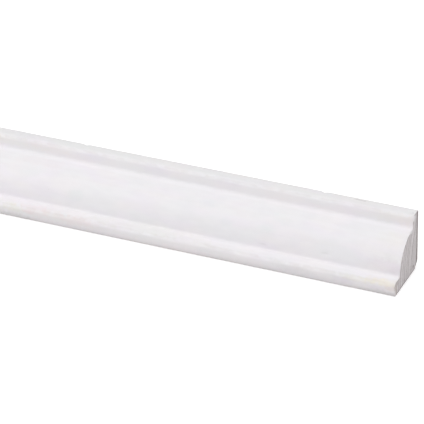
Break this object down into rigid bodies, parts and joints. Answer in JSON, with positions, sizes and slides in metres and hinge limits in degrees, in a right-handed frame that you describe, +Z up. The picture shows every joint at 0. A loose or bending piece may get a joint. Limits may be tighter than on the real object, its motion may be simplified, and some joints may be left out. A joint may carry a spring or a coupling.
{
  "type": "crown moulding length",
  "caption": "Solid timber crown moulding: a quarter round between square fillets, primed white, with flat wall and ceiling faces, an eased back corner and square-sawn ends.",
  "frame": {"origin": "on the underside, below the middle of the length and of the depth", "axes": "+X along the length, +Y towards the wall behind the moulding, +Z up as it lies on its ceiling face"},
  "size_m": [0.25, 0.034, 0.034],
  "materials": {
    "primed_softwood": "matt white primer on machined softwood, thin and grey on the sawn end grain"
  },
  "bodies": {
    "root": {"moulding": "primed_softwood"}
  },
  "joints": []
}
